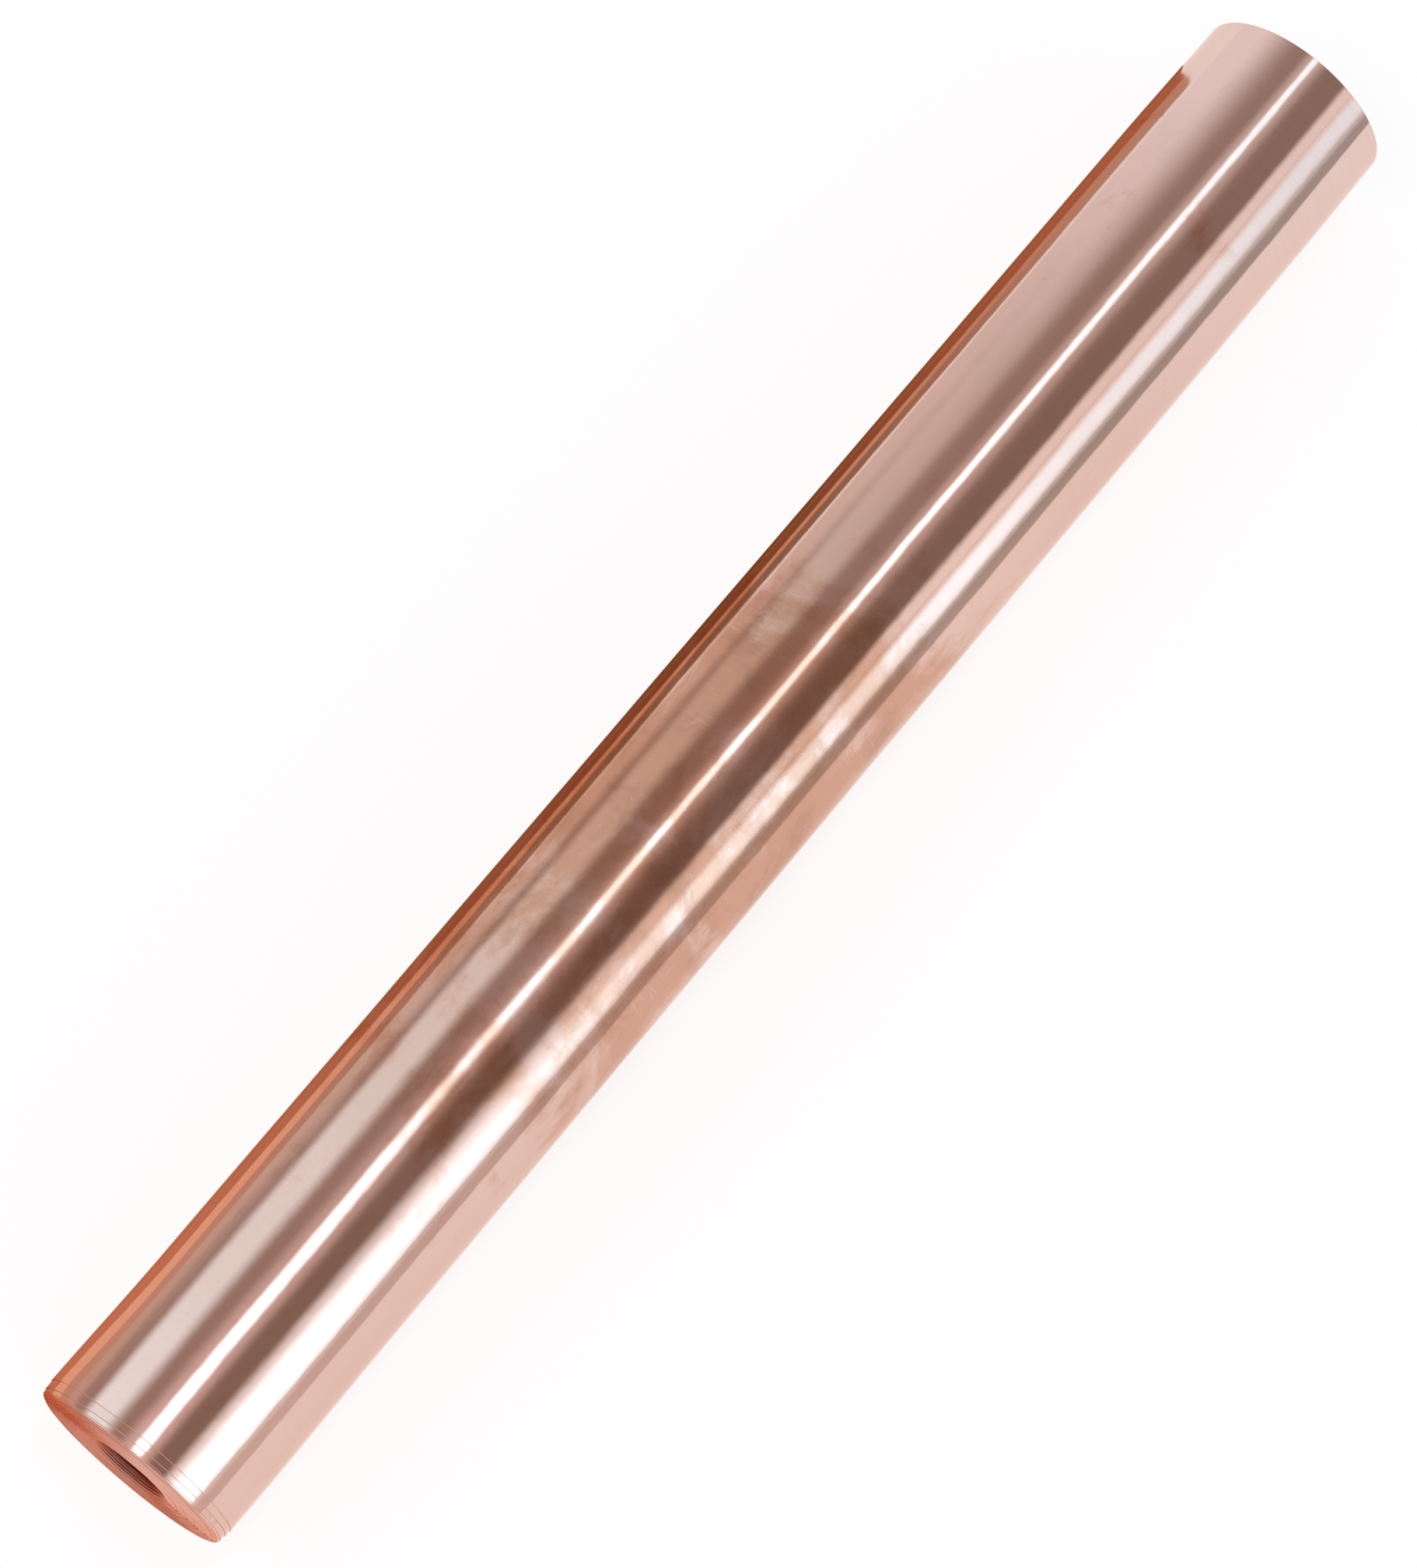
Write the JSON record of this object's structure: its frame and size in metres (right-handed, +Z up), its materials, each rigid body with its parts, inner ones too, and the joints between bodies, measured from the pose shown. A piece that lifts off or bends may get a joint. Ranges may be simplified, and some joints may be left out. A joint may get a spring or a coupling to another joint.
{
  "type": "copper foil roll",
  "caption": "Coreless roll of bare copper foil lying on its side, with an open eye, laps that slide out of line at the ends and a free tail that unrolls onto the table.",
  "frame": {"origin": "on the resting surface, under the middle of the roll", "axes": "+X along the roll's axis, from the wound end with the stepped rim towards the other end; +Y towards the side where the free tail unrolls; +Z up"},
  "size_m": [0.3078, 0.0366, 0.0366],
  "materials": {
    "wound_laps": "satin edges of wound foil",
    "outer_face": "bright rolled copper with light tarnish"
  },
  "bodies": {
    "outer_wrap": {"outer_lap_1": "outer_face", "outer_lap_2": "outer_face", "last_lap": "outer_face"},
    "core_laps": {"inner_end": "wound_laps", "lap_group_01": "wound_laps"},
    "laps_02": {"lap_group_02": "wound_laps"},
    "laps_03": {"lap_group_03": "wound_laps"},
    "laps_04": {"lap_group_04": "wound_laps"},
    "laps_05": {"lap_group_05": "wound_laps"},
    "laps_06": {"lap_group_06": "wound_laps"},
    "laps_07": {"lap_group_07": "wound_laps"},
    "laps_08": {"lap_group_08": "wound_laps"},
    "laps_09": {"lap_group_09": "wound_laps"},
    "laps_10": {"lap_group_10": "wound_laps"},
    "laps_11": {"lap_group_11": "wound_laps"},
    "laps_12": {"lap_group_12": "wound_laps"},
    "laps_13": {"lap_group_13": "wound_laps"},
    "laps_14": {"lap_group_14": "wound_laps"},
    "laps_15": {"lap_group_15": "wound_laps"},
    "tail_end_1": {"tail_1": "outer_face"},
    "tail_end_2": {"tail_2": "outer_face"},
    "tail_end_3": {"tail_3": "outer_face"},
    "tail_end_4": {"tail_4": "outer_face"},
    "tail_end_5": {"tail_5": "outer_face"},
    "tail_end_6": {"tail_6": "outer_face"}
  },
  "joints": [
    {"name": "telescope", "type": "slide", "parent": "outer_wrap", "child": "core_laps", "axis": [-1, 0, 0], "range_m": [-0.012, 0.012]},
    {"name": "telescope_02", "type": "slide", "parent": "outer_wrap", "child": "laps_02", "axis": [-1, 0, 0], "range_m": [-0.0112, 0.0112]},
    {"name": "telescope_03", "type": "slide", "parent": "outer_wrap", "child": "laps_03", "axis": [-1, 0, 0], "range_m": [-0.0104, 0.0104]},
    {"name": "telescope_04", "type": "slide", "parent": "outer_wrap", "child": "laps_04", "axis": [-1, 0, 0], "range_m": [-0.0096, 0.0096]},
    {"name": "telescope_05", "type": "slide", "parent": "outer_wrap", "child": "laps_05", "axis": [-1, 0, 0], "range_m": [-0.0088, 0.0088]},
    {"name": "telescope_06", "type": "slide", "parent": "outer_wrap", "child": "laps_06", "axis": [-1, 0, 0], "range_m": [-0.008, 0.008]},
    {"name": "telescope_07", "type": "slide", "parent": "outer_wrap", "child": "laps_07", "axis": [-1, 0, 0], "range_m": [-0.0072, 0.0072]},
    {"name": "telescope_08", "type": "slide", "parent": "outer_wrap", "child": "laps_08", "axis": [-1, 0, 0], "range_m": [-0.0064, 0.0064]},
    {"name": "telescope_09", "type": "slide", "parent": "outer_wrap", "child": "laps_09", "axis": [-1, 0, 0], "range_m": [-0.0056, 0.0056]},
    {"name": "telescope_10", "type": "slide", "parent": "outer_wrap", "child": "laps_10", "axis": [-1, 0, 0], "range_m": [-0.0048, 0.0048]},
    {"name": "telescope_11", "type": "slide", "parent": "outer_wrap", "child": "laps_11", "axis": [-1, 0, 0], "range_m": [-0.004, 0.004]},
    {"name": "telescope_12", "type": "slide", "parent": "outer_wrap", "child": "laps_12", "axis": [-1, 0, 0], "range_m": [-0.0032, 0.0032]},
    {"name": "telescope_13", "type": "slide", "parent": "outer_wrap", "child": "laps_13", "axis": [-1, 0, 0], "range_m": [-0.0024, 0.0024]},
    {"name": "telescope_14", "type": "slide", "parent": "outer_wrap", "child": "laps_14", "axis": [-1, 0, 0], "range_m": [-0.0016, 0.0016]},
    {"name": "telescope_15", "type": "slide", "parent": "outer_wrap", "child": "laps_15", "axis": [-1, 0, 0], "range_m": [-0.0008, 0.0008]},
    {"name": "tail_lift", "type": "hinge", "parent": "outer_wrap", "child": "tail_end_1", "pos_m": [0, 0.00255, 0.00018], "axis": [-1, 0, 0], "range_deg": [0, 16]},
    {"name": "tail_bend_2", "type": "hinge", "parent": "tail_end_1", "child": "tail_end_2", "pos_m": [0, 0.00715, 0.00145], "axis": [-1, 0, 0], "range_deg": [0, 15]},
    {"name": "tail_bend_3", "type": "hinge", "parent": "tail_end_2", "child": "tail_end_3", "pos_m": [0, 0.01126, 0.00388], "axis": [-1, 0, 0], "range_deg": [0, 15]},
    {"name": "tail_bend_4", "type": "hinge", "parent": "tail_end_3", "child": "tail_end_4", "pos_m": [0, 0.01461, 0.00729], "axis": [-1, 0, 0], "range_deg": [0, 15]},
    {"name": "tail_bend_5", "type": "hinge", "parent": "tail_end_4", "child": "tail_end_5", "pos_m": [0, 0.01696, 0.01144], "axis": [-1, 0, 0], "range_deg": [0, 15]},
    {"name": "tail_bend_6", "type": "hinge", "parent": "tail_end_5", "child": "tail_end_6", "pos_m": [0, 0.01816, 0.01607], "axis": [-1, 0, 0], "range_deg": [0, 15]}
  ],
  "couplings": [
    {"joint": "telescope_02", "follows": "telescope", "ratio": 0.9333},
    {"joint": "telescope_03", "follows": "telescope", "ratio": 0.8667},
    {"joint": "telescope_04", "follows": "telescope", "ratio": 0.8},
    {"joint": "telescope_05", "follows": "telescope", "ratio": 0.7333},
    {"joint": "telescope_06", "follows": "telescope", "ratio": 0.6667},
    {"joint": "telescope_07", "follows": "telescope", "ratio": 0.6},
    {"joint": "telescope_08", "follows": "telescope", "ratio": 0.5333},
    {"joint": "telescope_09", "follows": "telescope", "ratio": 0.4667},
    {"joint": "telescope_10", "follows": "telescope", "ratio": 0.4},
    {"joint": "telescope_11", "follows": "telescope", "ratio": 0.3333},
    {"joint": "telescope_12", "follows": "telescope", "ratio": 0.2667},
    {"joint": "telescope_13", "follows": "telescope", "ratio": 0.2},
    {"joint": "telescope_14", "follows": "telescope", "ratio": 0.1333},
    {"joint": "telescope_15", "follows": "telescope", "ratio": 0.0667},
    {"joint": "tail_bend_2", "follows": "tail_lift", "ratio": 0.9375},
    {"joint": "tail_bend_3", "follows": "tail_lift", "ratio": 0.9375},
    {"joint": "tail_bend_4", "follows": "tail_lift", "ratio": 0.9375},
    {"joint": "tail_bend_5", "follows": "tail_lift", "ratio": 0.9375},
    {"joint": "tail_bend_6", "follows": "tail_lift", "ratio": 0.9375}
  ]
}
